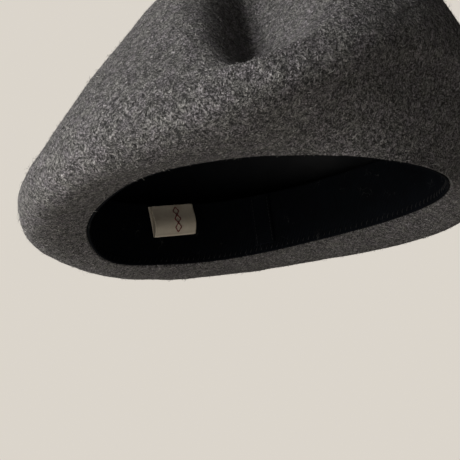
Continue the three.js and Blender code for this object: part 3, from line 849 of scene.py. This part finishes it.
def make_label(inside, material, motif, cream_thread):
    """Loop label: the middle layer thickened both ways, its motif of small woven diamonds, and the stitches
    that hold its top edge."""
    t = np.concatenate([np.linspace(0, 0.46, 40), np.linspace(0.465, 0.535, 26), np.linspace(0.54, 1, 40)])
    t = t[:, None]
    w = np.linspace(-1, 1, 57)[None]
    middle = label_surface(t, w, inside)
    down, over = np.gradient(middle, axis=0), np.gradient(middle, axis=1)
    normal = unit(np.cross(down, over))
    fray = 0.05 * lattice_noise(middle, 0.7, 21)
    half = 0.2 + 0.03 * lattice_noise(middle, 1.1, 22)
    middle = middle + unit(over) * (fray * (np.abs(w) > 0.98))[..., None]
    lift = normal * half[..., None]
    rows = np.concatenate([middle + lift, (middle - lift)[:, ::-1]], axis=1)
    points = rows.reshape(-1, 3)
    count, total = rows.shape[1], len(points)
    points = np.concatenate([points, [rows[0].mean(0), rows[-1].mean(0)]])
    length = (2 * inside.label_drop) * MM
    around = np.concatenate([w[0], w[0][::-1]]) * inside.label_width / 2 * MM
    u = np.stack([around, np.roll(around, -1)], axis=1)
    v = t[:, 0] * length
    k, i = np.divmod(np.arange((len(t) - 1) * count), count)
    uv = np.stack([np.stack([u[i, 0], v[k]], -1), np.stack([u[i, 1], v[k]], -1),
                   np.stack([u[i, 1], v[k + 1]], -1), np.stack([u[i, 0], v[k + 1]], -1)], axis=1)
    faces = [tube_faces(len(t), count), fan_faces(total, 0, count, True),
             fan_faces(total + 1, total - count, count, False)]
    label = add_object("woven_label", points, faces, [uv, np.zeros((count, 3, 2)), np.zeros((count, 3, 2))])
    finish(label, material, "label", "label", "label")

    half = inside.label_width / 2
    place = motif_line(inside)
    start, end = place[:-1], place[1:]
    kept = np.arange(len(start)) % 9 != 8
    start, end = start[kept], end[kept]

    def on_front(spot, lift):
        t_at = 1 - 0.5 * np.clip(spot[:, 1] / (inside.label_drop + 0.57), 0, 0.97)
        return label_surface(t_at, spot[:, 0] / half, inside) + label_frame(inside)[0] * lift

    woven = make_stitches("label_motif", on_front(start, 0.17), on_front((start + end) / 2, 0.42),
                          on_front(end, 0.17), np.tile(label_frame(inside)[0], (len(start), 1)), 0.34, motif,
                          "label", "label")

    straight_in, along, hinge = label_frame(inside)
    steps = (np.linspace(-1, 1, 11) * (half - 1.6))[:, None]
    wall = band_point(np.array(LABEL_ANGLE), BAND_INSET + BAND_THICKNESS / 2,
                      inside.band_height - LABEL_BELOW)
    askew = np.array([0.0, 0.0, 1.0]) * LABEL_SLANT * steps / half
    foot = hinge + along * steps + straight_in * 0.25 + np.array([0.0, 0.0, 0.15]) + askew
    crest = hinge + along * (steps + 0.5) - straight_in * 1.1 + np.array([0.0, 0.0, 1.2]) + askew
    sag = (steps**2) / 160.0
    far = wall + along * (steps + 0.9) + straight_in * sag - np.array([0.0, 0.0, 0.5]) + askew
    make_stitches("stitches_label", foot, crest, far, np.tile(along, (len(steps), 1)), 0.2, cream_thread,
                  "beret", "label_thread", "label_stitching")
    return label


# ---------------------------------------------------------------- stage

CAMERA_LENS = 58.7
CAMERA_TILT = -16.5
CAMERA_ROLL = 7.4
CAMERA_PLACE = (18.6, 364.0, 6.7)
CAMERA_SENSOR = 36.0
LAMPS = (  # name, place, target, size in metres, share of the key light's power, colour
    ("key", (-0.90, -0.79, 0.17), (0.0, 0.0, 0.05), 0.6, 1.0, (1.0, 0.985, 0.965)),
    ("floor_glow", (-0.36, -0.16, -0.26), (-0.05, 0.0, 0.0), 0.35, 0.018, (1.0, 0.96, 0.92)),
    ("side_glow", (-0.72, -0.38, -0.13), (-0.05, 0.0, 0.0), 0.35, 0.065, (1.0, 0.97, 0.94)),
)


def level_frame():
    """Rotation from the beret's frame to the level frame of the room: tilted back, then rolled sideways."""
    tilt, roll = math.radians(CAMERA_TILT), math.radians(CAMERA_ROLL)
    back = Matrix(((1, 0, 0), (0, math.cos(tilt), -math.sin(tilt)), (0, math.sin(tilt), math.cos(tilt))))
    side = Matrix(((math.cos(roll), 0, -math.sin(roll)), (0, 1, 0), (math.sin(roll), 0, math.cos(roll))))
    return side @ back


def make_camera():
    """Camera looking level through the room at the tilted beret."""
    turn = level_frame().transposed()
    data = bpy.data.cameras.new("camera")
    data.lens, data.sensor_width = CAMERA_LENS, CAMERA_SENSOR
    data.clip_start, data.clip_end = 0.01, 50.0
    camera = bpy.data.objects.new("camera", data)
    bpy.context.scene.collection.objects.link(camera)
    axes = Matrix([turn @ Vector(axis) for axis in ((1, 0, 0), (0, 0, 1), (0, -1, 0))]).transposed()
    place = turn @ (-Vector(CAMERA_PLACE) * MM)
    camera.matrix_world = Matrix.Translation(place) @ axes.to_4x4()
    bpy.context.scene.camera = camera


def make_light(name, place, target, size, power, colour):
    """Square area light at a place, aimed at a target, both in metres."""
    data = bpy.data.lights.new(name, "AREA")
    data.size, data.energy, data.color = size, power, colour
    lamp = bpy.data.objects.new(name, data)
    lamp.location = place
    lamp.rotation_euler = (Vector(target) - Vector(place)).to_track_quat("-Z", "Y").to_euler()
    bpy.context.scene.collection.objects.link(lamp)


def make_world(stage):
    """Even backdrop seen directly, and a dimmer even light from all round."""
    world = bpy.data.worlds.new("studio")
    bpy.context.scene.world = world
    world.use_nodes = True
    tree = world.node_tree
    tree.nodes.clear()
    seen, fill = tree.nodes.new("ShaderNodeBackground"), tree.nodes.new("ShaderNodeBackground")
    seen.inputs["Color"].default_value = rgba(stage.wall)
    fill.inputs["Color"].default_value = (0.80, 0.78, 0.76, 1.0)
    fill.inputs["Strength"].default_value = stage.fill
    mix, path = tree.nodes.new("ShaderNodeMixShader"), tree.nodes.new("ShaderNodeLightPath")
    output = tree.nodes.new("ShaderNodeOutputWorld")
    tree.links.new(path.outputs["Is Camera Ray"], mix.inputs[0])
    tree.links.new(fill.outputs[0], mix.inputs[1])
    tree.links.new(seen.outputs[0], mix.inputs[2])
    tree.links.new(mix.outputs[0], output.inputs[0])


def make_floor(stage):
    """Large round floor: a polar grid, flat, with a plain pale matt finish."""
    turn = np.radians(degrees_round(96))[:, None]
    r = np.linspace(0.02, 4.0, 30)[None]
    z = stage.floor_height
    points = np.stack([r * np.cos(turn), r * np.sin(turn), z + 0 * r * turn], axis=-1).transpose(1, 0, 2)
    points = np.concatenate([points.reshape(-1, 3), [[0, 0, z]]])
    mesh = bpy.data.meshes.new("floor")
    faces = tube_faces(30, 96).tolist() + fan_faces(len(points) - 1, 0, 96, False).tolist()
    mesh.from_pydata(points.tolist(), [], faces)
    floor = bpy.data.objects.new("floor", mesh)
    bpy.context.scene.collection.objects.link(floor)
    n = Nodes("pale_floor")
    floor.data.materials.append(n.surface(Base_Color=rgba(stage.floor), Roughness=0.9,
                                          Specular_IOR_Level=0.1))


# ---------------------------------------------------------------- operators and panel

def shared(name, build, *values):
    """A material by name, built the first time it is asked for."""
    return bpy.data.materials.get(name) or build(*values)


class BERET_OT_felt_shell(bpy.types.Operator):
    """Felt shell: outer face, cut edge and inner face"""
    bl_idname = "beret.felt_shell"
    bl_label = "Felt Shell"

    def execute(self, context):
        felt = context.scene.beret_felt
        make_felt_shell(felt, shared("wool_felt", felt_material, felt))
        return {"FINISHED"}


class BERET_OT_felt_fuzz(bpy.types.Operator):
    """Loose wool fibres over the felt's outer face"""
    bl_idname = "beret.felt_fuzz"
    bl_label = "Felt Fuzz"

    def execute(self, context):
        felt = context.scene.beret_felt
        material = shared("wool_fuzz", fuzz_material, felt)
        for k in range(FUZZ_PIECES):
            make_fuzz(f"loose_wool_{k + 1}", felt, material, FUZZ_SEED + k)
        return {"FINISHED"}


class BERET_OT_stalk(bpy.types.Operator):
    """Felt stalk at the top of the crown"""
    bl_idname = "beret.stalk"
    bl_label = "Stalk"

    def execute(self, context):
        felt = context.scene.beret_felt
        make_stalk(felt, shared("wool_felt", felt_material, felt))
        return {"FINISHED"}


class BERET_OT_linings(bpy.types.Operator):
    """Crown and side linings"""
    bl_idname = "beret.linings"
    bl_label = "Linings"

    def execute(self, context):
        scene = context.scene
        make_linings(scene.beret_felt, shared("black_satin", satin_material, scene.beret_inside))
        return {"FINISHED"}


class BERET_OT_sweatband(bpy.types.Operator):
    """Ribbon sweatband and the tab over its back join"""
    bl_idname = "beret.sweatband"
    bl_label = "Sweatband"

    def execute(self, context):
        inside = context.scene.beret_inside
        ribbon = shared("black_ribbon", ribbon_material, inside)
        make_sweatband(inside, ribbon)
        make_tab(inside, ribbon)
        return {"FINISHED"}


class BERET_OT_seams(bpy.types.Operator):
    """Rows of black stitches"""
    bl_idname = "beret.seams"
    bl_label = "Seams"

    def execute(self, context):
        scene = context.scene
        black = shared("black_thread", thread_material, "black_thread", (0.002, 0.002, 0.003))
        make_seams(scene.beret_felt, scene.beret_inside, black)
        return {"FINISHED"}


class BERET_OT_label(bpy.types.Operator):
    """Loop label with its motif and its stitches"""
    bl_idname = "beret.label"
    bl_label = "Label"

    def execute(self, context):
        inside = context.scene.beret_inside
        make_label(inside, shared("label_taffeta", label_material, inside),
                   shared("motif_thread", thread_material, "motif_thread", tuple(inside.motif)),
                   shared("cream_thread", thread_material, "cream_thread", (0.5, 0.46, 0.38)))
        return {"FINISHED"}


class BERET_OT_stage(bpy.types.Operator):
    """Floor, backdrop, lights and camera"""
    bl_idname = "beret.stage"
    bl_label = "Stage"

    def execute(self, context):
        stage = context.scene.beret_stage
        make_floor(stage)
        make_world(stage)
        make_camera()
        for name, place, target, size, share, colour in LAMPS:
            make_light(name, place, target, size, stage.key_power * share, colour)
        context.scene.view_settings.view_transform = "Standard"
        return {"FINISHED"}


class BERET_PT_parts(bpy.types.Panel):
    """Sidebar panel listing the beret's pieces and sizes"""
    bl_label = "Felt Beret"
    bl_space_type = "VIEW_3D"
    bl_region_type = "UI"
    bl_category = "Beret"

    def draw(self, context):
        for group in (context.scene.beret_felt, context.scene.beret_inside, context.scene.beret_stage):
            box = self.layout.box()
            for key in group.__annotations__:
                box.prop(group, key)
        for step in STEPS:
            self.layout.operator(step.bl_idname)


GROUPS = {"beret_felt": BERET_PG_felt, "beret_inside": BERET_PG_inside, "beret_stage": BERET_PG_stage}
STEPS = (BERET_OT_felt_shell, BERET_OT_felt_fuzz, BERET_OT_stalk, BERET_OT_linings, BERET_OT_sweatband,
         BERET_OT_seams, BERET_OT_label, BERET_OT_stage)
CLASSES = (*GROUPS.values(), *STEPS, BERET_PT_parts)


def register():
    """Registers the classes and hangs the settings on the scene."""
    for cls in CLASSES:
        bpy.utils.register_class(cls)
    for name, group in GROUPS.items():
        setattr(bpy.types.Scene, name, PointerProperty(type=group))


def unregister():
    """Takes the settings and the classes away again."""
    for name in GROUPS:
        delattr(bpy.types.Scene, name)
    for cls in reversed(CLASSES):
        bpy.utils.unregister_class(cls)


def main():
    register()
    for step in STEPS:
        area, name = step.bl_idname.split(".")
        getattr(getattr(bpy.ops, area), name)()


if __name__ == "__main__":
    main()
